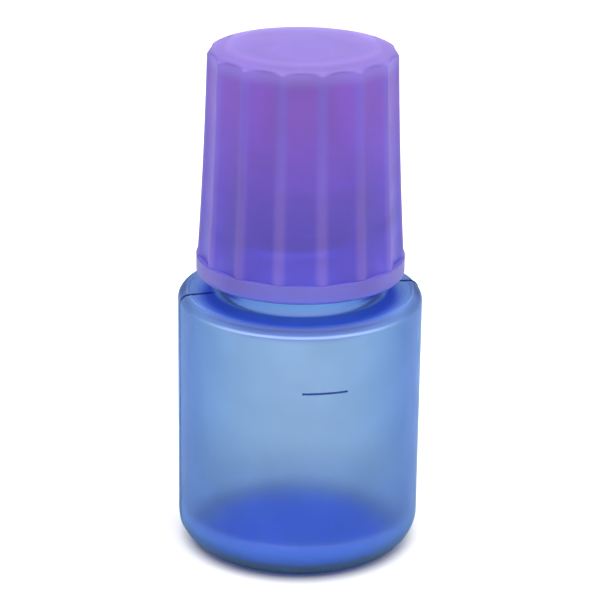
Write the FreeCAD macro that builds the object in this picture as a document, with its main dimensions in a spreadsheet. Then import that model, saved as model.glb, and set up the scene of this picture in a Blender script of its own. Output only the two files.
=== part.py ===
import FreeCAD, Part
import math
import os
import re
import PartDesign
import Sketcher

# Glue applicator bottle: a blow-moulded squeeze bottle, a nozzle that snaps into its neck, and a
# tall fluted screw cap with a soft seal inside. Millimetres and degrees, +Z up, origin at the
# centre of the base, the mould's parting plane in XZ and the level mark facing -Y.

DIMENSIONS = [
    # Bottle: body and shoulder
    ("body_radius", 12.5),
    ("shoulder_height", 27.45),
    ("shoulder_rise", 0.1),
    ("shoulder_round", 1.0),
    ("shoulder_line_radius", 11.36),
    ("shoulder_line_width", 0.2),
    ("shoulder_line_height", 0.05),
    ("base_round", 3.2),
    ("wall_thickness", 0.9),
    ("floor_thickness", 1.0),
    ("inner_round", 0.7),
    # Bottle: recess under the base, with the pinch-off line and the mould cavity's ring
    ("recess_radius", 8.4),
    ("recess_slope", 0.9),
    ("recess_depth", 0.55),
    ("pinch_length", 13.0),
    ("pinch_width", 0.8),
    ("pinch_height", 0.2),
    ("ring_mark_radius", 1.5),
    ("ring_mark_width", 0.35),
    ("ring_mark_height", 0.18),
    ("ring_mark_offset", 4.2),
    # Bottle: neck
    ("root_round", 0.5),
    ("bead_radius", 8.4),
    ("bead_height", 1.3),
    ("bead_round", 0.35),
    ("neck_radius", 7.8),
    ("neck_top", 39.4),
    ("neck_bore_radius", 6.5),
    ("neck_lead", 0.3),
    # Bottle: parting line and level mark
    ("seam_height", 0.07),
    ("seam_width", 0.18),
    ("mark_level", 20.83),
    ("mark_height", 0.3),
    ("mark_depth", 0.12),
    ("mark_angle", 21.0),
    ("mark_azimuth", -91.0),
    # Screw thread, shared by the neck and the cap
    ("thread_pitch", 3.175),
    ("thread_base_width", 1.5),
    ("thread_crest_width", 0.7),
    ("thread_sink", 0.2),
    ("neck_thread_height", 0.95),
    ("neck_thread_start", 30.93),
    ("neck_thread_turns", 2.0),
    ("cap_thread_height", 0.85),
    ("cap_thread_drop", 1.24),
    ("cap_thread_turns", 1.25),
    # Nozzle
    ("plug_radius", 6.42),
    ("plug_length", 6.0),
    ("plug_lead", 0.5),
    ("plug_bore_radius", 5.3),
    ("plug_bead_radius", 6.55),
    ("plug_bead_width", 0.8),
    ("plug_bead_level", 1.3),
    ("plug_bead_spacing", 2.0),
    ("flange_radius", 7.5),
    ("flange_thickness", 1.0),
    ("flange_round", 0.25),
    ("cone_radius", 4.6),
    ("cone_round", 0.8),
    ("cone_wall", 1.1),
    ("tip_height", 50.4),
    ("tip_radius", 2.1),
    ("tip_round", 0.5),
    ("orifice_radius", 0.5),
    ("orifice_length", 1.6),
    # Cap: outside
    ("cap_bottom", 29.4),
    ("cap_top", 53.5),
    ("dome_rise", 0.92),
    ("crown_round", 1.0),
    ("crown_radius", 9.69),
    ("skirt_radius", 10.6),
    ("flare_sag", 0.09),
    ("band_radius", 10.62),
    ("band_height", 1.87),
    ("band_round", 0.3),
    ("flute_count", 15),
    ("flute_depth", 0.514),
    ("flute_radius", 9.0),
    ("flute_phase", 16.9),
    ("ridge_round", 0.8),
    ("flute_top_round", 0.25),
    # Cap: inside, with the ring that holds the seal
    ("cap_bore_radius", 8.95),
    ("cap_bore_top", 38.9),
    ("cap_lead", 0.35),
    ("cap_step", 0.45),
    ("cap_roof", 51.9),
    ("cap_roof_radius", 7.9),
    ("cap_roof_round", 0.7),
    ("ring_radius", 4.9),
    ("ring_bore_radius", 4.0),
    ("ring_lip_radius", 3.75),
    ("ring_lip_height", 0.35),
    # Seal
    ("seal_radius", 3.92),
    ("seal_stem_radius", 3.55),
    ("seal_collar_height", 1.05),
    ("seal_gap", 0.06),
    ("pip_radius", 0.38),
    ("pip_point_radius", 0.2),
    ("pip_length", 0.7),
]

ALIASES = {alias for alias, size in DIMENSIONS}
CUT_OVERRUN = 1.0

# Levels that several outlines share
CROWN_LEVEL = "cap_top - dome_rise - crown_round"
FLUTE_LEVEL = "cap_bottom + band_height"
NECK_ROOT = "shoulder_height + shoulder_rise"
SEAL_TOP = "cap_roof - seal_gap"
COLLAR_LEVEL = "cap_roof - seal_gap - seal_collar_height"
LIP_TOP = COLLAR_LEVEL + " - seal_gap"

doc = FreeCAD.newDocument("GlueApplicatorBottle")
sheet = doc.addObject("Spreadsheet::Sheet", "Sizes")
for row, (alias, size) in enumerate(DIMENSIONS, start=1):
    sheet.set(f"A{row}", str(size))
    sheet.setAlias(f"A{row}", alias)
doc.recompute()


def value(formula):
    """The number that a formula in the sheet's aliases comes to."""
    return float(sheet.evalExpression(formula))


def bound(formula):
    """The same formula as another object's expression has to name the aliases."""
    def prefixed(match):
        word = match.group()
        return "Sizes." + word if word in ALIASES else word
    return re.sub(r"[a-z]+(?:_[a-z]+)*", prefixed, formula)


def new_body(label):
    body = doc.addObject("PartDesign::Body", label)
    body.Label = label
    return body


def origin_feature(body, role):
    for feature in body.Origin.OriginFeatures:
        if feature.Role == role:
            return feature
    raise ValueError(role)


def half_plane(body, name, azimuth="0"):
    """A sketch in the vertical plane through +Z, its x axis turned by azimuth from +X to +Y."""
    sketch = body.newObject("Sketcher::SketchObject", name)
    sketch.AttachmentSupport = [(origin_feature(body, "XZ_Plane"), "")]
    sketch.MapMode = "FlatFace"
    turn = FreeCAD.Rotation(FreeCAD.Vector(0, 1, 0), value(azimuth))
    sketch.AttachmentOffset = FreeCAD.Placement(FreeCAD.Vector(), turn)
    return sketch


def level_plane(body, name, level, azimuth="0"):
    """A horizontal sketch at a level, its x axis turned by azimuth from +X to +Y."""
    sketch = body.newObject("Sketcher::SketchObject", name)
    sketch.AttachmentSupport = [(origin_feature(body, "XY_Plane"), "")]
    sketch.MapMode = "FlatFace"
    turn = FreeCAD.Rotation(FreeCAD.Vector(0, 0, 1), value(azimuth))
    sketch.AttachmentOffset = FreeCAD.Placement(FreeCAD.Vector(0, 0, value(level)), turn)
    sketch.setExpression(".AttachmentOffset.Base.z", bound(level))
    sketch.setExpression(".AttachmentOffset.Rotation.Angle", bound(azimuth))
    return sketch


def bind(sketch, kind, elements, formula):
    """Add a dimension to a sketch and tie it to the sheet. A zero puts the point on an axis."""
    if formula == "0":
        axis = -2 if kind == "DistanceX" else -1
        sketch.addConstraint(Sketcher.Constraint("PointOnObject", *elements[2:], axis))
        return
    index = sketch.addConstraint(Sketcher.Constraint(kind, *elements, value(formula)))
    sketch.setExpression(f"Constraints[{index}]", bound(formula))


def arc_between(start, end, radius, turns_left):
    """A circle's arc under half a turn, and whether its own start is the path's start."""
    chord = end - start
    middle = start + chord * 0.5
    rise = math.sqrt(radius ** 2 - (chord.Length / 2) ** 2)
    left = FreeCAD.Vector(-chord.y, chord.x, 0).normalize()
    centre = middle + left * (rise if turns_left else -rise)
    first, last = (start, end) if turns_left else (end, start)
    first_angle = math.atan2(first.y - centre.y, first.x - centre.x)
    last_angle = math.atan2(last.y - centre.y, last.x - centre.x)
    circle = Part.Circle(centre, FreeCAD.Vector(0, 0, 1), radius)
    return Part.ArcOfCircle(circle, first_angle, last_angle)


def draw(sketch, steps):
    """Draw a closed outline. A step is the point that it goes to, and for an arc also the
    arc's radius and the side, "left" or "right", that the path turns to along it."""
    corners = [FreeCAD.Vector(value(step[0]), value(step[1]), 0) for step in steps]
    starts = []
    ends = []
    for index, step in enumerate(steps):
        start = corners[index - 1]
        end = corners[index]
        if len(step) == 2:
            edge = sketch.addGeometry(Part.LineSegment(start, end), False)
            forward = True
        else:
            forward = step[3] == "left"
            edge = sketch.addGeometry(arc_between(start, end, value(step[2]), forward), False)
        starts.append((edge, 1 if forward else 2))
        ends.append((edge, 2 if forward else 1))
    for index, step in enumerate(steps):
        following = starts[(index + 1) % len(steps)]
        sketch.addConstraint(Sketcher.Constraint("Coincident", *ends[index], *following))
        bind(sketch, "DistanceX", (-1, 1, *ends[index]), step[0])
        bind(sketch, "DistanceY", (-1, 1, *ends[index]), step[1])
        if len(step) == 4:
            radius = Sketcher.Constraint("Radius", ends[index][0], value(step[2]))
            number = sketch.addConstraint(radius)
            sketch.setExpression(f"Constraints[{number}]", bound(step[2]))


def draw_circle(sketch, distance, radius):
    """A circle centred on the sketch's x axis, at a distance from its origin."""
    centre = FreeCAD.Vector(value(distance), 0, 0)
    circle = Part.Circle(centre, FreeCAD.Vector(0, 0, 1), value(radius))
    edge = sketch.addGeometry(circle, False)
    sketch.addConstraint(Sketcher.Constraint("PointOnObject", edge, 3, -1))
    bind(sketch, "DistanceX", (-1, 1, edge, 3), distance)
    number = sketch.addConstraint(Sketcher.Constraint("Radius", edge, value(radius)))
    sketch.setExpression(f"Constraints[{number}]", bound(radius))


def turned(body, name, kind, steps, azimuth="0", angle="360"):
    """Revolve an outline about +Z: kind is Revolution, which adds, or Groove, which cuts."""
    sketch = half_plane(body, name + "_outline", azimuth)
    draw(sketch, steps)
    feature = body.newObject("PartDesign::" + kind, name)
    feature.Profile = sketch
    feature.ReferenceAxis = (sketch, ["V_Axis"])
    feature.Midplane = angle != "360"
    feature.Angle = value(angle)
    feature.setExpression("Angle", bound(angle))
    return feature


def threaded(body, name, steps, turns):
    """Sweep a ridge's outline up a right-hand helix about +Z."""
    sketch = half_plane(body, name + "_outline")
    draw(sketch, steps)
    feature = body.newObject("PartDesign::AdditiveHelix", name)
    feature.Profile = sketch
    feature.ReferenceAxis = (sketch, ["V_Axis"])
    feature.Mode = "pitch-turns-angle"
    feature.setExpression("Pitch", bound("thread_pitch"))
    feature.setExpression("Turns", bound(turns))
    return feature


def thread_ridge(root, crest, level):
    """The outline of a thread's ridge, wide at its root radius and narrow at its crest."""
    steps = [
        (root, f"{level} - thread_base_width / 2"),
        (crest, f"{level} - thread_crest_width / 2"),
        (crest, f"{level} + thread_crest_width / 2"),
        (root, f"{level} + thread_base_width / 2"),
    ]
    return steps


def arc_radius(chord_squared, sag):
    """The radius of an arc with a given chord, squared, and a given height over it."""
    return f"({chord_squared}) / (8 * {sag}) + {sag} / 2"


def bottle_outside():
    line = "shoulder_line_radius"
    return [
        ("0", "recess_depth"),
        ("recess_radius - recess_slope", "recess_depth"),
        ("recess_radius", "0"),
        ("body_radius - base_round", "0"),
        ("body_radius", "base_round", "base_round", "left"),
        ("body_radius", "shoulder_height - shoulder_round"),
        ("body_radius - shoulder_round", "shoulder_height", "shoulder_round", "left"),
        (line + " + shoulder_line_width / 2", "shoulder_height"),
        (line + " + shoulder_line_width / 4", "shoulder_height + shoulder_line_height"),
        (line + " - shoulder_line_width / 4", "shoulder_height + shoulder_line_height"),
        (line + " - shoulder_line_width / 2", "shoulder_height"),
        ("bead_radius + root_round", NECK_ROOT),
        ("bead_radius", NECK_ROOT + " + root_round", "root_round", "right"),
        ("bead_radius", NECK_ROOT + " + bead_height - bead_round"),
        ("bead_radius - bead_round", NECK_ROOT + " + bead_height", "bead_round", "left"),
        ("neck_radius", NECK_ROOT + " + bead_height"),
        ("neck_radius", "neck_top - neck_lead"),
        ("neck_radius - neck_lead", "neck_top", "neck_lead", "left"),
        ("0", "neck_top"),
    ]


def bottle_inside():
    ceiling = "shoulder_height - wall_thickness"
    return [
        ("0", "recess_depth + floor_thickness"),
        ("recess_radius - recess_slope", "recess_depth + floor_thickness"),
        ("recess_radius", "floor_thickness"),
        ("body_radius - base_round", "floor_thickness"),
        (
            "body_radius - wall_thickness",
            "floor_thickness + base_round - wall_thickness",
            "base_round - wall_thickness",
            "left",
        ),
        ("body_radius - wall_thickness", ceiling + " - inner_round"),
        ("body_radius - wall_thickness - inner_round", ceiling, "inner_round", "left"),
        ("neck_bore_radius + inner_round", ceiling),
        ("neck_bore_radius", ceiling + " + inner_round", "inner_round", "right"),
        ("neck_bore_radius", "neck_top - neck_lead"),
        ("neck_bore_radius + neck_lead", "neck_top"),
        ("neck_bore_radius + neck_lead", f"neck_top + {CUT_OVERRUN}"),
        ("0", f"neck_top + {CUT_OVERRUN}"),
    ]


def seam_outline():
    """The flash along the parting line, from the base's round edge to the neck's root. Its
    inner side lies inside the wall."""
    low_reach = "(base_round + seam_height) * cos(45 deg)"
    inner = "body_radius - wall_thickness / 2"
    under = "shoulder_height - wall_thickness / 2"
    return [
        (inner, "base_round"),
        (
            f"body_radius - base_round + {low_reach} - wall_thickness / 2",
            f"base_round - {low_reach} + wall_thickness / 2",
        ),
        (f"body_radius - base_round + {low_reach}", f"base_round - {low_reach}"),
        ("body_radius + seam_height", "base_round", "base_round + seam_height", "left"),
        ("body_radius + seam_height", "shoulder_height - shoulder_round"),
        (
            "body_radius - shoulder_round",
            "shoulder_height + seam_height",
            "shoulder_round + seam_height",
            "left",
        ),
        ("bead_radius", NECK_ROOT + " + seam_height"),
        ("bead_radius", under),
        (inner, under),
    ]


def add_seam(body):
    """The parting line on the +X side, and the same on the -X side."""
    sketch = half_plane(body, "seam_outline")
    draw(sketch, seam_outline())
    seam = body.newObject("PartDesign::Pad", "seam")
    seam.Profile = sketch
    seam.Midplane = True
    seam.setExpression("Length", bound("seam_width"))
    mirrored = body.newObject("PartDesign::Mirrored", "seam_mirrored")
    mirrored.Originals = [seam]
    mirrored.MirrorPlane = (origin_feature(body, "YZ_Plane"), [""])
    body.Tip = mirrored


def add_level_mark(body):
    """A short raised line round the front of the wall."""
    low = "mark_level - mark_height / 2"
    high = "mark_level + mark_height / 2"
    steps = [
        ("body_radius - wall_thickness / 2", low),
        ("body_radius", low),
        ("body_radius + mark_depth", "mark_level - mark_height / 6"),
        ("body_radius + mark_depth", "mark_level + mark_height / 6"),
        ("body_radius", high),
        ("body_radius - wall_thickness / 2", high),
    ]
    turned(body, "level_mark", "Revolution", steps, "mark_azimuth", "mark_angle")


def add_base_marks(body):
    """The pinch-off line across the recess and a plain ring beside it, clear of the table."""
    pinch_plane = level_plane(body, "pinch_outline", "recess_depth - pinch_height")
    half_length = value("pinch_length") / 2
    half_width = value("pinch_width") / 2
    corners = [
        FreeCAD.Vector(-half_length, -half_width, 0),
        FreeCAD.Vector(half_length, -half_width, 0),
        FreeCAD.Vector(half_length, half_width, 0),
        FreeCAD.Vector(-half_length, half_width, 0),
    ]
    for index, corner in enumerate(corners):
        edge = Part.LineSegment(corner, corners[(index + 1) % 4])
        pinch_plane.addGeometry(edge, False)
    for index in range(4):
        joined = Sketcher.Constraint("Coincident", index, 2, (index + 1) % 4, 1)
        pinch_plane.addConstraint(joined)
    for index, direction in enumerate(["Horizontal", "Vertical", "Horizontal", "Vertical"]):
        pinch_plane.addConstraint(Sketcher.Constraint(direction, index))
    pinch_plane.addConstraint(Sketcher.Constraint("Symmetric", 0, 1, 1, 2, -1, 1))
    bind(pinch_plane, "DistanceX", (0, 1, 0, 2), "pinch_length")
    bind(pinch_plane, "DistanceY", (1, 1, 1, 2), "pinch_width")
    pinch = body.newObject("PartDesign::Pad", "pinch_off")
    pinch.Profile = pinch_plane
    pinch.setExpression("Length", bound("pinch_height + floor_thickness / 2"))

    ring_plane = level_plane(body, "ring_outline", "recess_depth - ring_mark_height", "-90")
    draw_circle(ring_plane, "ring_mark_offset", "ring_mark_radius")
    draw_circle(ring_plane, "ring_mark_offset", "ring_mark_radius - ring_mark_width")
    ring = body.newObject("PartDesign::Pad", "ring_mark")
    ring.Profile = ring_plane
    ring.setExpression("Length", bound("ring_mark_height + floor_thickness / 2"))


def make_bottle():
    body = new_body("bottle_body")
    turned(body, "outside", "Revolution", bottle_outside())
    add_seam(body)
    add_level_mark(body)
    add_base_marks(body)
    ridge = thread_ridge(
        "neck_radius - thread_sink", "neck_radius + neck_thread_height", "neck_thread_start"
    )
    threaded(body, "neck_thread", ridge, "neck_thread_turns")
    turned(body, "inside", "Groove", bottle_inside())
    return body


def nozzle_outline():
    plug_end = "neck_top - plug_length"
    flange_top = "neck_top + flange_thickness"
    bead_sag = "(plug_bead_radius - plug_radius)"
    bead_arc = arc_radius("plug_bead_width^2", bead_sag)
    steps = [
        ("plug_bore_radius", plug_end),
        ("plug_radius - plug_lead / 2", plug_end),
        ("plug_radius", plug_end + " + plug_lead"),
    ]
    for bead in range(2):
        low = f"{plug_end} + plug_bead_level + {bead} * plug_bead_spacing"
        steps.append(("plug_radius", low))
        steps.append(("plug_radius", low + " + plug_bead_width", bead_arc, "left"))
    steps += [
        ("plug_radius", "neck_top"),
        ("flange_radius", "neck_top"),
        ("flange_radius", flange_top + " - flange_round"),
        ("flange_radius - flange_round", flange_top, "flange_round", "left"),
        ("cone_radius + cone_round", flange_top),
        ("cone_radius", flange_top + " + cone_round", "cone_round", "right"),
        ("tip_radius", "tip_height - tip_round"),
        ("tip_radius - tip_round", "tip_height", "tip_round", "left"),
        ("orifice_radius", "tip_height"),
        ("orifice_radius", "tip_height - orifice_length"),
        ("tip_radius - cone_wall", "tip_height - orifice_length - orifice_radius"),
        ("cone_radius - cone_wall", flange_top),
        ("plug_bore_radius", "neck_top"),
    ]
    return steps


def make_nozzle():
    body = new_body("drip_nozzle")
    turned(body, "nozzle", "Revolution", nozzle_outline())
    return body


def seal_outline():
    face = "tip_height + seal_gap"
    return [
        ("0", face + " - pip_length"),
        ("pip_point_radius", face + " - pip_length"),
        ("pip_radius", face + " - pip_length + pip_radius"),
        ("pip_radius", face),
        ("seal_stem_radius", face),
        ("seal_stem_radius", COLLAR_LEVEL),
        ("seal_radius", COLLAR_LEVEL),
        ("seal_radius", SEAL_TOP),
        ("0", SEAL_TOP),
    ]


def make_seal():
    body = new_body("tip_seal")
    turned(body, "seal", "Revolution", seal_outline())
    return body


def cap_outside():
    flare_height = f"({CROWN_LEVEL} - ({FLUTE_LEVEL}))"
    flare_chord = f"(skirt_radius - crown_radius)^2 + {flare_height}^2"
    dome_chord = "(2 * (crown_radius - crown_round))^2"
    return [
        ("0", "cap_bottom"),
        ("band_radius - band_round", "cap_bottom"),
        ("band_radius", "cap_bottom + band_round", "band_round", "left"),
        ("band_radius", FLUTE_LEVEL + " - (band_radius - skirt_radius)"),
        ("skirt_radius", FLUTE_LEVEL),
        ("crown_radius", CROWN_LEVEL, arc_radius(flare_chord, "flare_sag"), "right"),
        ("crown_radius - crown_round", "cap_top - dome_rise", "crown_round", "left"),
        ("0", "cap_top", arc_radius(dome_chord, "dome_rise"), "left"),
    ]


def cap_inside():
    return [
        ("0", f"cap_bottom - {CUT_OVERRUN}"),
        ("cap_bore_radius + cap_lead", f"cap_bottom - {CUT_OVERRUN}"),
        ("cap_bore_radius + cap_lead", "cap_bottom"),
        ("cap_bore_radius", "cap_bottom + cap_lead"),
        ("cap_bore_radius", "cap_bore_top"),
        ("cap_bore_radius - cap_step", "cap_bore_top + cap_step"),
        ("cap_roof_radius", "cap_roof - cap_roof_round"),
        ("cap_roof_radius - cap_roof_round", "cap_roof", "cap_roof_round", "left"),
        ("ring_radius", "cap_roof"),
        ("ring_radius", LIP_TOP + " - ring_lip_height"),
        ("ring_lip_radius", LIP_TOP + " - ring_lip_height"),
        ("ring_lip_radius", LIP_TOP),
        ("ring_bore_radius", LIP_TOP),
        ("ring_bore_radius", "cap_roof"),
        ("0", "cap_roof"),
    ]


def flute_section(body, share):
    """One circle of the flute's cutter. Share counts the wall's height, from 0 at the band to
    1 at the crown, and the wall's radius follows it as a parabola."""
    slope = "(crown_radius - skirt_radius - 4 * flare_sag)"
    wall = f"skirt_radius + {slope} * {share} + 4 * flare_sag * {share}^2"
    level = f"{FLUTE_LEVEL} + ({CROWN_LEVEL} - ({FLUTE_LEVEL})) * {share}"
    number = round(share * 10)
    sketch = level_plane(body, f"flute_section_{number}", level, "flute_phase")
    draw_circle(sketch, f"{wall} - flute_depth + flute_radius", "flute_radius")
    return sketch


def add_round(body, name, size, level_above, level_below, shortest_rise):
    """Round the edges of the body's tip that lie between two levels and rise enough."""
    doc.recompute()
    tip = body.Tip
    edges = []
    for number, edge in enumerate(tip.Shape.Edges, start=1):
        levels = [vertex.Point.z for vertex in edge.Vertexes]
        inside = value(level_above) < min(levels) and max(levels) < value(level_below)
        if inside and len(levels) == 2 and max(levels) - min(levels) >= shortest_rise:
            edges.append(f"Edge{number}")
    fillet = body.newObject("PartDesign::Fillet", name)
    fillet.Base = (tip, edges)
    fillet.setExpression("Radius", bound(size))
    body.Tip = fillet


def add_flutes(body):
    """Concave flutes from the rim band up through the crown's round edge. They meet in ridges,
    and both the ridges and the flutes' upper ends are rounded."""
    low, middle, high = [flute_section(body, share) for share in (0, 0.6, 1.2)]
    flute = body.newObject("PartDesign::SubtractiveLoft", "flute")
    flute.Profile = low
    flute.Sections = [middle, high]
    pattern = body.newObject("PartDesign::PolarPattern", "flutes")
    pattern.Originals = [flute]
    pattern.Axis = (origin_feature(body, "Z_Axis"), [""])
    pattern.Angle = 360
    pattern.setExpression("Occurrences", bound("flute_count"))
    body.Tip = pattern
    wall_height = value(f"{CROWN_LEVEL} - ({FLUTE_LEVEL})")
    add_round(body, "ridge_rounds", "ridge_round", "cap_bottom", "cap_top", wall_height / 2)
    add_round(body, "flute_top_rounds", "flute_top_round", CROWN_LEVEL, "cap_top - dome_rise", 0)


def make_cap():
    body = new_body("screw_cap")
    turned(body, "outside", "Revolution", cap_outside())
    add_flutes(body)
    turned(body, "inside", "Groove", cap_inside())
    ridge = thread_ridge(
        "cap_bore_radius + thread_sink",
        "cap_bore_radius - cap_thread_height",
        "neck_thread_start + thread_pitch - cap_thread_drop",
    )
    threaded(body, "cap_thread", ridge, "cap_thread_turns")
    return body


bodies = [make_bottle(), make_nozzle(), make_seal(), make_cap()]
doc.recompute()

for thing in doc.Objects:
    if "Invalid" in thing.State or "Error" in thing.State:
        raise RuntimeError(f"{thing.Name} failed: {thing.State}")
for thing in doc.Objects:
    if thing.TypeId == "Sketcher::SketchObject" and not thing.FullyConstrained:
        raise RuntimeError(f"{thing.Name} is not fully constrained")
for body in bodies:
    shape = body.Shape
    if shape.isNull() or not shape.isValid() or len(shape.Solids) != 1:
        raise RuntimeError(f"{body.Label} is not one valid solid")

os.makedirs("parts", exist_ok=True)
for body in bodies:
    body.Shape.exportStep(f"parts/{body.Label}.step")
    box = body.Shape.BoundBox
    print(
        f"{body.Label}: {body.Shape.Volume:.1f} mm3,",
        f"x {box.XMin:.2f} to {box.XMax:.2f}, y {box.YMin:.2f} to {box.YMax:.2f},",
        f"z {box.ZMin:.2f} to {box.ZMax:.2f}",
    )
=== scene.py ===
import math

import bpy
from mathutils import Matrix, Vector

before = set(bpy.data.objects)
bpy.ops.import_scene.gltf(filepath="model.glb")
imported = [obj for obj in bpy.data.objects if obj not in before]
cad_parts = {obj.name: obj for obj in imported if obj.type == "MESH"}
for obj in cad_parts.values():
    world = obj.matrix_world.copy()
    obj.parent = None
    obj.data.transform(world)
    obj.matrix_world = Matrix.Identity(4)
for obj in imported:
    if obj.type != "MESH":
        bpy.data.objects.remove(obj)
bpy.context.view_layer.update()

MM = 0.001

# The camera looks at the bottle from a little to its left and from above.
CAMERA_AZIMUTH = math.radians(-13.0)
CAMERA_ELEVATION = math.radians(20.17)
CAMERA_DISTANCE = 248.0 * MM
CAMERA_ROLL = math.radians(0.726)
CAMERA_LENS = 145.3
CAMERA_SENSOR = 36.0
CAMERA_CLIP = 0.01
AIM_HEIGHT = 26.1 * MM

# A white surround, and one large soft light above. Metres and watts.
WORLD_STRENGTH = 0.75
TOP_PLACE = (0.0, -0.10, 0.60)
TOP_SIZE = (0.9, 0.9)
TOP_POWER = 16.0
FLOOR_REACH = 1.5
FLOOR_SHADE = 0.5
FLOOR_ROUGHNESS = 0.9
FLOOR_GLOSS = 0.1

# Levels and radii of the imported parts, in millimetres, that the tints follow.
BODY_RADIUS = 12.5
CORNER_RADIUS = 9.3
CORNER_LEVEL = 3.2
LEVEL_MARK = 20.83
NECK_ROOT = 27.2
BAND_TOP = 31.27
FLUTE_COUNT = 15
RIDGE_AZIMUTH = math.radians(4.9)

# The side where the bottle's painted shade and painted highlights are strongest, as a direction
# in x and y. It is the side that faces the camera; how the far side differs is a guess.
CAMERA_SIDE = (-0.225, -0.974)

# Both coloured plastics. The index of refraction is chosen for the look and lower than a real
# plastic's, about 1.5, which gave the walls dark grey edges. The grain's depth is in millimetres.
IOR = 1.18
GRAIN = 0.0008
GRAIN_SIZE = 0.16
WAVE_SIZE = 2.4
PATCH_SIZE = 3.0

# The bottle's blue. A loss is what a millimetre of plastic takes from red, green and blue.
# A tint is a colour and how clear the plastic is there.
BOTTLE_ROUGHNESS = (0.29, 0.35)
BOTTLE_LOSS = (0.161, 0.249, 0.055)
BOTTLE_WALL = ((0.798, 0.832, 0.766), 0.97)
BOTTLE_SKIN = (0.80, 0.93, 1.0)
BOTTLE_SKIN_IOR = 1.03
BOTTLE_SKIN_ROUGHNESS = 0.35
CLOUD_SIZE = 5.0

# The bottle's tints, several of them painted light and painted shade, each followed by the spans
# in millimetres over which it fades, or the spans of the share toward the camera side, which is 1 there
# and -1 opposite.
# Painted light: a paler, cloudier band on the inside of the lowest wall, lightening the shadow under the
# bottle where it shows through.
LOW_PAINTED_LIGHT_TINT = ((0.84, 0.91, 0.93), 0.7)
LOW_LEVELS = (2.8, 5.0)
# Painted shade: a deep blue inner floor, shifted toward the camera side, that stands in for the bottle's
# own shadow under its base.
FLOOR_PAINTED_SHADE_TINT = ((0.0, 0.18, 0.83), 0.1)
FLOOR_LEVELS = (3.3, 4.0)
FLOOR_RADII = (7.5, 13.5)
FLOOR_SHIFT = 3.0
# Painted shade: the outer corner darkened, most on the camera side and little at the back.
CORNER_PAINTED_SHADE_TINT = ((0.40, 0.64, 0.72), 0.9)
CORNER_LEVELS = (2.4, 5.2)
CORNER_SHARES = (-0.6, 0.1)
CORNER_AT_BACK = 0.12
WALL_MIDDLE = (2.6, 3.0)
# Painted shadow: the deep blue crescent round the neck root, where the cap's rim shades the shoulder,
# shifted toward the camera side.
ROOT_PAINTED_SHADOW_TINT = ((0.09, 0.16, 0.64), 0.85)
ROOT_START = (8.4, 9.2)
ROOT_END = (9.2, 11.2)
ROOT_SHIFT = 1.7
ROOT_HEIGHT = (1.0, 0.3)
NECK_TINT = ((0.50, 0.80, 0.80), 0.97)
NECK_RADII = (8.9, 8.6)
NECK_LEVELS = (27.5, 27.9)
# The shoulder's fine mould rings, darkened more on the camera side as painted shade.
RING_AND_PAINTED_SHADE_TINT = ((0.12, 0.24, 0.82), 0.6)
RING_WIDTH = 0.3
RING_SHARES = (-0.1, 0.85)
RING_WEIGHTS = (0.35, 0.9)
SHOULDER_ROUGHNESS = 0.5
SHOULDER_LEVELS = (26.85, 26.95)
SHOULDER_START = (8.6, 9.2)
SHOULDER_END = (11.6, 12.3)
# Painted highlight: a light line along the shoulder's outer edge, strongest on the camera side.
EDGE_PAINTED_HIGHLIGHT_TINT = ((0.9, 1.0, 1.0), 0.6)
EDGE_LEVEL = 26.68
EDGE_HEIGHT = (0.03, 0.25)
EDGE_RADII = (12.2, 12.4)
EDGE_SHARES = (0.35, 1.0)
EDGE_WEIGHT = 0.6
SEAM_TINT = ((0.012, 0.03, 0.14), 0.6)
SEAM_WIDTH = (0.14, 0.20)
SEAM_RADII = (8.8, 9.6)
SEAM_LEVELS = (26.0, 27.3)
MARK_TINT = ((0.012, 0.03, 0.14), 0.1)
MARK_HEIGHT = (0.35, 0.05)
MARK_RADII = (12.51, 12.55)
MARK_PLACES = (-9.0, -10.0)

# The cap's purple, with the same kinds of spans.
CAP_ROUGHNESS = (0.42, 0.50)
CAP_LOSS = (0.15, 0.10, 0.02)
CAP_CLEAR = 0.75
CAP_COAT = 0.1
CAP_COAT_ROUGHNESS = 0.3
CAP_COAT_IOR = 1.5
CAP_CLOUD_SIZE = 4.0
CAP_LOW = (0.205, 0.148, 0.681)
CAP_WALL = (0.374, 0.182, 0.625)
CAP_LEVELS = (34.0, 50.0)
# The lighter ridges: partly their thicker plastic, partly a painted highlight.
RIDGE_THICKNESS_AND_HIGHLIGHT_COLOUR = (0.338, 0.224, 0.70)
RIDGE_SHARES = (0.35, 1.0)
FLUTE_START = (BAND_TOP - 0.1, BAND_TOP + 0.2)
FLUTE_END = (52.6, 51.8)
CROWN_LEVELS = (50.6, 52.6)
DOME_COLOUR = (0.32, 0.213, 0.556)
DOME_RADII = (9.6, 9.2)
ROOF_COLOUR = (0.19, 0.132, 0.39)
ROOF_CLEAR = 0.5
ROOF_RADII = (8.8, 6.6)
# Painted light: a lighter band under the crown, where the flutes end.
GLOW_PAINTED_LIGHT_COLOUR = (0.47, 0.33, 0.80)
GLOW_START = (50.7, 52.0)
GLOW_END = (52.42, 52.1)
BAND_COLOUR = (0.326, 0.255, 0.642)
BAND_LEVELS = (BAND_TOP + 0.05, BAND_TOP - 0.05)
RIM_COLOUR = (0.26, 0.30, 0.80)
RIM_LEVELS = (30.2, 29.5)

# The two hidden pieces: milky natural nozzle and white seal.
INNER_IOR = 1.45
INNER_GRAIN = 0.003
NOZZLE_ROUGHNESS = (0.28, 0.38)
NOZZLE_CLEAR = 0.6
NOZZLE_TONES = ((0.90, 0.93, 0.95), (0.95, 0.96, 0.97))
NOZZLE_CLOUD_SIZE = 2.0
SEAL_ROUGHNESS = (0.40, 0.50)
SEAL_CLEAR = 0.0
SEAL_TONES = ((0.86, 0.86, 0.84), (0.92, 0.92, 0.90))
SEAL_CLOUD_SIZE = 1.0

# Noise mostly lies between these two values, so they are stretched to 0 and 1.
NOISE_SPAN = (0.3, 0.7)


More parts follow.
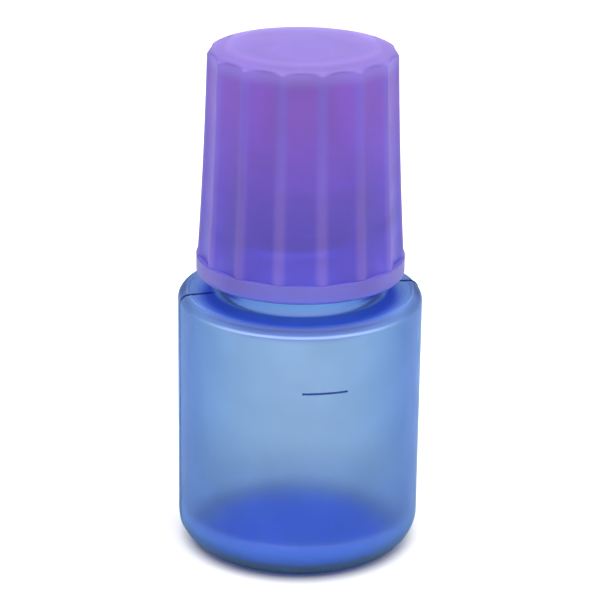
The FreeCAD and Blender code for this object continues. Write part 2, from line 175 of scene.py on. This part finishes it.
class Tree:
    """A material's node tree, with short ways to add the nodes it needs."""

    def __init__(self, name):
        self.material = bpy.data.materials.new(name)
        self.material.use_nodes = True
        self.nodes = self.material.node_tree.nodes
        self.links = self.material.node_tree.links
        self.shader = self.nodes["Principled BSDF"]
        self.output = self.nodes["Material Output"]
        self.place = self.nodes.new("ShaderNodeTexCoord").outputs["Object"]

    def put(self, socket, source):
        """Link a socket to another node's output, or give it a plain value."""
        if isinstance(source, bpy.types.NodeSocket):
            self.links.new(source, socket)
        elif isinstance(source, (tuple, list)) and len(source) == 3 and socket.type == "RGBA":
            socket.default_value = (*source, 1.0)
        else:
            socket.default_value = source

    def math(self, operation, first, second=0.0, third=0.0):
        node = self.nodes.new("ShaderNodeMath")
        node.operation = operation
        for socket, source in zip(node.inputs, (first, second, third)):
            self.put(socket, source)
        return node.outputs[0]

    def times(self, *factors):
        result = factors[0]
        for factor in factors[1:]:
            result = self.math("MULTIPLY", result, factor)
        return result

    def axes(self):
        """The point's x, y and z in millimetres."""
        scaled = self.nodes.new("ShaderNodeVectorMath")
        scaled.operation = "SCALE"
        self.put(scaled.inputs[0], self.place)
        scaled.inputs["Scale"].default_value = 1 / MM
        split = self.nodes.new("ShaderNodeSeparateXYZ")
        self.put(split.inputs[0], scaled.outputs[0])
        return split.outputs

    def radius(self, x, y):
        """The distance from the bottle's axis, in millimetres."""
        return self.math("SQRT", self.math("ADD", self.times(x, x), self.times(y, y)))

    def off_axis(self, x, y, shift):
        """The distance from a line beside the axis, shifted toward the bottle's camera side."""
        aside = [self.math("SUBTRACT", source, shift * part) for source, part in zip((x, y), CAMERA_SIDE)]
        return self.radius(*aside)

    def toward(self, x, y):
        """1 at the outside of the camera side, 0 beside the axis, -1 opposite."""
        shares = [self.times(source, part / BODY_RADIUS) for source, part in zip((x, y), CAMERA_SIDE)]
        return self.math("ADD", *shares)

    def ramp(self, source, low, high, at_low=0.0, at_high=1.0):
        """A smooth step from one value at low to another at high."""
        node = self.nodes.new("ShaderNodeMapRange")
        node.interpolation_type = "SMOOTHSTEP"
        for number, given in enumerate((source, low, high, at_low, at_high)):
            self.put(node.inputs[number], given)
        return node.outputs[0]

    def fade(self, source, full, gone):
        """1 up to the full value, falling smoothly to 0 where it is gone."""
        return self.ramp(source, full, gone, 1.0, 0.0)

    def hill(self, source, middle, half_width, soft):
        """1 within half_width of the middle, falling smoothly to 0 over the soft distance."""
        away = self.math("ABSOLUTE", self.math("SUBTRACT", source, middle))
        return self.fade(away, half_width, half_width + soft)

    def noise(self, size, detail=2.0, stretch=(1, 1, 1), seed=0.0):
        """Noise from 0 to 1 with features of the given size in millimetres."""
        mapping = self.nodes.new("ShaderNodeMapping")
        self.put(mapping.inputs["Vector"], self.place)
        mapping.inputs["Location"].default_value = (seed, seed * 0.7, seed * 1.3)
        mapping.inputs["Scale"].default_value = stretch
        node = self.nodes.new("ShaderNodeTexNoise")
        self.put(node.inputs["Vector"], mapping.outputs[0])
        node.inputs["Scale"].default_value = 1 / (size * MM)
        node.inputs["Detail"].default_value = detail
        return node.outputs[0]

    def along(self, source, size):
        """Noise that follows one number alone, with features of the given size."""
        node = self.nodes.new("ShaderNodeTexNoise")
        node.noise_dimensions = "1D"
        self.put(node.inputs["W"], source)
        node.inputs["Scale"].default_value = 1 / size
        node.inputs["Detail"].default_value = 1.0
        return node.outputs[0]

    def mix(self, factor, first, second):
        node = self.nodes.new("ShaderNodeMix")
        node.data_type = "RGBA"
        self.put(node.inputs["Factor"], factor)
        self.put(node.inputs["A"], first)
        self.put(node.inputs["B"], second)
        return node.outputs["Result"]

    def bump(self, height, depth, below=None):
        node = self.nodes.new("ShaderNodeBump")
        node.inputs["Distance"].default_value = depth * MM
        self.put(node.inputs["Height"], height)
        if below is not None:
            self.put(node.inputs["Normal"], below)
        return node.outputs[0]

    def absorb(self, per_mm):
        """Coloured depth: how much of each colour a millimetre of the plastic takes away."""
        volume = self.nodes.new("ShaderNodeVolumeAbsorption")
        density = max(per_mm)
        volume.inputs["Density"].default_value = density / MM
        volume.inputs["Color"].default_value = (*(1 - loss / density for loss in per_mm), 1.0)
        self.put(self.output.inputs["Volume"], volume.outputs[0])


def moulded(name, roughness, clear, ior, grain):
    """The start of every plastic here: a satin moulded surface with fine grain and slow
    changes in gloss."""
    tree = Tree(name)
    tree.shader.inputs["Transmission Weight"].default_value = clear
    tree.shader.inputs["IOR"].default_value = ior
    patches = tree.noise(PATCH_SIZE, detail=3.0)
    tree.put(tree.shader.inputs["Roughness"], tree.ramp(patches, *NOISE_SPAN, *roughness))
    fine = tree.noise(GRAIN_SIZE, detail=2.0, seed=3.0)
    waves = tree.noise(WAVE_SIZE, detail=1.0, stretch=(1, 1, 0.5), seed=7.0)
    shape = tree.bump(fine, grain, tree.bump(waves, grain * 2.0))
    tree.put(tree.shader.inputs["Normal"], shape)
    return tree


def skin(tree, weight, roughness, ior, tint):
    """A thin clear or tinted layer over the plastic."""
    tree.shader.inputs["Coat Weight"].default_value = weight
    tree.shader.inputs["Coat Roughness"].default_value = roughness
    tree.shader.inputs["Coat IOR"].default_value = ior
    tree.shader.inputs["Coat Tint"].default_value = (*tint, 1.0)


def clouded(tree, size, seed, lowest, tone):
    """The tone, darkened in slow clouds down to the lowest share of it."""
    clouds = tree.ramp(tree.noise(size, detail=2.0, seed=seed), *NOISE_SPAN, lowest, 1.0)
    return tree.mix(clouds, (0, 0, 0), tone)


def shoulder_mask(tree, r, z):
    """The bottle's nearly flat shoulder, outside the neck."""
    return tree.times(
        tree.ramp(z, *SHOULDER_LEVELS),
        tree.ramp(r, *SHOULDER_START),
        tree.fade(r, *SHOULDER_END),
    )


def shoulder_tints_and_painted_light(tree, x, y, z, r, shoulder):
    """Fine mould rings with painted shade on the camera side, a painted highlight on the outer edge, the
    neck, and the painted shadow of the cap at the root beside it.
    """
    forward = tree.toward(x, y)
    rings = tree.times(
        shoulder,
        tree.ramp(tree.along(r, RING_WIDTH), 0.25, 0.75, 0.3, 1.0),
        tree.ramp(forward, *RING_SHARES, *RING_WEIGHTS),
    )
    edge = tree.times(
        tree.hill(z, EDGE_LEVEL, *EDGE_HEIGHT),
        tree.ramp(r, *EDGE_RADII),
        tree.ramp(forward, *EDGE_SHARES, 0.0, EDGE_WEIGHT),
    )
    neck = tree.times(tree.ramp(r, *NECK_RADII), tree.ramp(z, *NECK_LEVELS))
    root = tree.times(
        tree.ramp(r, *ROOT_START),
        tree.fade(tree.off_axis(x, y, ROOT_SHIFT), *ROOT_END),
        tree.hill(z, NECK_ROOT, *ROOT_HEIGHT),
    )
    return [(rings, RING_AND_PAINTED_SHADE_TINT), (edge, EDGE_PAINTED_HIGHLIGHT_TINT), (neck, NECK_TINT), (root, ROOT_PAINTED_SHADOW_TINT)]


def base_painted_light_and_shade(tree, x, y, z, r):
    """The inside's lowest band with painted light, the deep floor with painted shade, and the outer
    corner with painted shade.
    """
    outward = tree.math("MAXIMUM", tree.math("SUBTRACT", r, CORNER_RADIUS), 0.0)
    downward = tree.math("MAXIMUM", tree.math("SUBTRACT", CORNER_LEVEL, z), 0.0)
    outside = tree.ramp(tree.radius(outward, downward), *WALL_MIDDLE)
    inside = tree.math("SUBTRACT", 1.0, outside)
    low = tree.times(inside, tree.fade(z, *LOW_LEVELS))
    floor = tree.times(
        inside,
        tree.fade(tree.off_axis(x, y, FLOOR_SHIFT), *FLOOR_RADII),
        tree.fade(z, *FLOOR_LEVELS),
    )
    corner = tree.times(
        outside,
        tree.fade(z, *CORNER_LEVELS),
        tree.ramp(tree.toward(x, y), *CORNER_SHARES, CORNER_AT_BACK, 1.0),
    )
    return [(low, LOW_PAINTED_LIGHT_TINT), (floor, FLOOR_PAINTED_SHADE_TINT), (corner, CORNER_PAINTED_SHADE_TINT)]


def line_tints(tree, y, z, r):
    """The parting line over the shoulder, and the level mark on the wall."""
    seam = tree.times(
        tree.hill(y, 0.0, *SEAM_WIDTH),
        tree.ramp(r, *SEAM_RADII),
        tree.ramp(z, *SEAM_LEVELS),
    )
    mark = tree.times(
        tree.hill(z, LEVEL_MARK, *MARK_HEIGHT),
        tree.ramp(r, *MARK_RADII),
        tree.ramp(y, *MARK_PLACES),
    )
    return [(seam, SEAM_TINT), (mark, MARK_TINT)]


def bottle_plastic():
    wall, clear = BOTTLE_WALL
    tree = moulded("bottle", BOTTLE_ROUGHNESS, clear, IOR, GRAIN)
    skin(tree, 1.0, BOTTLE_SKIN_ROUGHNESS, BOTTLE_SKIN_IOR, BOTTLE_SKIN)
    x, y, z = tree.axes()
    r = tree.radius(x, y)
    shoulder = shoulder_mask(tree, r, z)
    rough = tree.shader.inputs["Roughness"]
    satin = rough.links[0].from_socket
    tree.put(rough, tree.ramp(shoulder, 0.0, 1.0, satin, SHOULDER_ROUGHNESS))
    tone = clouded(tree, CLOUD_SIZE, 1.0, 0.9, wall)
    # Several of these tints are painted light and painted shade; the seam and the level mark are the
    # bottle's own.
    tints = shoulder_tints_and_painted_light(tree, x, y, z, r, shoulder)
    tints += base_painted_light_and_shade(tree, x, y, z, r)
    tints += line_tints(tree, y, z, r)
    for mask, (colour, clearness) in tints:
        tone = tree.mix(mask, tone, colour)
        clear = tree.ramp(mask, 0.0, 1.0, clear, clearness)
    tree.put(tree.shader.inputs["Base Color"], tone)
    tree.put(tree.shader.inputs["Transmission Weight"], clear)
    tree.absorb(BOTTLE_LOSS)
    return tree.material


def ridge_mask(tree, x, y, z):
    """The ridges between the cap's flutes, as far up and down as the flutes go."""
    turned = tree.math("SUBTRACT", tree.math("ARCTAN2", y, x), RIDGE_AZIMUTH)
    wave = tree.math("COSINE", tree.times(turned, float(FLUTE_COUNT)))
    ridge = tree.ramp(wave, *RIDGE_SHARES)
    return tree.times(ridge, tree.ramp(z, *FLUTE_START), tree.ramp(z, *FLUTE_END))


def cap_plastic():
    tree = moulded("cap", CAP_ROUGHNESS, CAP_CLEAR, IOR, GRAIN)
    skin(tree, CAP_COAT, CAP_COAT_ROUGHNESS, CAP_COAT_IOR, (1.0, 1.0, 1.0))
    x, y, z = tree.axes()
    r = tree.radius(x, y)
    crown = tree.ramp(z, *CROWN_LEVELS)
    roof = tree.times(crown, tree.ramp(r, *ROOF_RADII))
    tone = tree.mix(tree.ramp(z, *CAP_LEVELS), CAP_LOW, CAP_WALL)
    # The ridges' colour is partly a painted highlight, and the glow band under the crown is painted
    # light.
    for mask, colour in (
        (ridge_mask(tree, x, y, z), RIDGE_THICKNESS_AND_HIGHLIGHT_COLOUR),
        (tree.times(crown, tree.ramp(r, *DOME_RADII)), DOME_COLOUR),
        (roof, ROOF_COLOUR),
        (tree.times(tree.ramp(z, *GLOW_START), tree.ramp(z, *GLOW_END)), GLOW_PAINTED_LIGHT_COLOUR),
        (tree.ramp(z, *BAND_LEVELS), BAND_COLOUR),
        (tree.ramp(z, *RIM_LEVELS), RIM_COLOUR),
    ):
        tone = tree.mix(mask, tone, colour)
    tree.put(tree.shader.inputs["Base Color"], clouded(tree, CAP_CLOUD_SIZE, 2.0, 0.94, tone))
    clear = tree.ramp(roof, 0.0, 1.0, CAP_CLEAR, ROOF_CLEAR)
    tree.put(tree.shader.inputs["Transmission Weight"], clear)
    tree.absorb(CAP_LOSS)
    return tree.material


def inner_plastic(name, roughness, clear, size, seed, tones):
    """A pale plastic for the pieces inside, with slow changes between two tones."""
    tree = moulded(name, roughness, clear, INNER_IOR, INNER_GRAIN)
    share = tree.ramp(tree.noise(size, seed=seed), *NOISE_SPAN)
    tree.put(tree.shader.inputs["Base Color"], tree.mix(share, *tones))
    return tree.material


def nozzle_plastic():
    return inner_plastic("nozzle", NOZZLE_ROUGHNESS, NOZZLE_CLEAR, NOZZLE_CLOUD_SIZE, 5.0, NOZZLE_TONES)


def seal_plastic():
    return inner_plastic("seal", SEAL_ROUGHNESS, SEAL_CLEAR, SEAL_CLOUD_SIZE, 9.0, SEAL_TONES)


def dress(node, material):
    """Give a CAD node its material."""
    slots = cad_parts[node].data.materials
    slots.clear()
    slots.append(material)


def add_camera():
    flat = math.cos(CAMERA_ELEVATION)
    back = Vector((
        math.sin(CAMERA_AZIMUTH) * flat,
        -math.cos(CAMERA_AZIMUTH) * flat,
        math.sin(CAMERA_ELEVATION),
    ))
    data = bpy.data.cameras.new("camera")
    data.lens = CAMERA_LENS
    data.sensor_width = CAMERA_SENSOR
    data.clip_start = CAMERA_CLIP
    camera = bpy.data.objects.new("camera", data)
    bpy.context.scene.collection.objects.link(camera)
    place = Matrix.Translation(Vector((0, 0, AIM_HEIGHT)) + back * CAMERA_DISTANCE)
    look = (-back).to_track_quat("-Z", "Y").to_matrix().to_4x4()
    camera.matrix_world = place @ look @ Matrix.Rotation(CAMERA_ROLL, 4, "Z")
    bpy.context.scene.camera = camera


def add_light(name, location, size, power):
    """A soft rectangular light that points at the bottle."""
    data = bpy.data.lights.new(name, "AREA")
    data.shape = "RECTANGLE"
    data.size, data.size_y = size
    data.energy = power
    light = bpy.data.objects.new(name, data)
    bpy.context.scene.collection.objects.link(light)
    light.location = location
    aim = Vector((0, 0, AIM_HEIGHT)) - Vector(location)
    light.rotation_euler = aim.to_track_quat("-Z", "Y").to_euler()


def add_world(strength):
    world = bpy.data.worlds.new("studio")
    bpy.context.scene.world = world
    world.use_nodes = True
    shade = world.node_tree.nodes["Background"]
    shade.inputs["Color"].default_value = (1, 1, 1, 1)
    shade.inputs["Strength"].default_value = strength


def add_floor():
    mesh = bpy.data.meshes.new("floor")
    near, far = -FLOOR_REACH, FLOOR_REACH
    corners = [(near, near, 0), (far, near, 0), (far, far, 0), (near, far, 0)]
    mesh.from_pydata(corners, [], [(0, 1, 2, 3)])
    floor = bpy.data.objects.new("floor", mesh)
    bpy.context.scene.collection.objects.link(floor)
    tree = Tree("floor")
    tree.shader.inputs["Base Color"].default_value = (FLOOR_SHADE, FLOOR_SHADE, FLOOR_SHADE, 1)
    tree.shader.inputs["Roughness"].default_value = FLOOR_ROUGHNESS
    tree.shader.inputs["Specular IOR Level"].default_value = FLOOR_GLOSS
    mesh.materials.append(tree.material)


add_camera()
add_world(WORLD_STRENGTH)
add_floor()
add_light("top", TOP_PLACE, TOP_SIZE, TOP_POWER)
bpy.context.scene.view_settings.view_transform = "Standard"

dress("bottle_body", bottle_plastic())
dress("drip_nozzle", nozzle_plastic())
dress("tip_seal", seal_plastic())
dress("screw_cap", cap_plastic())
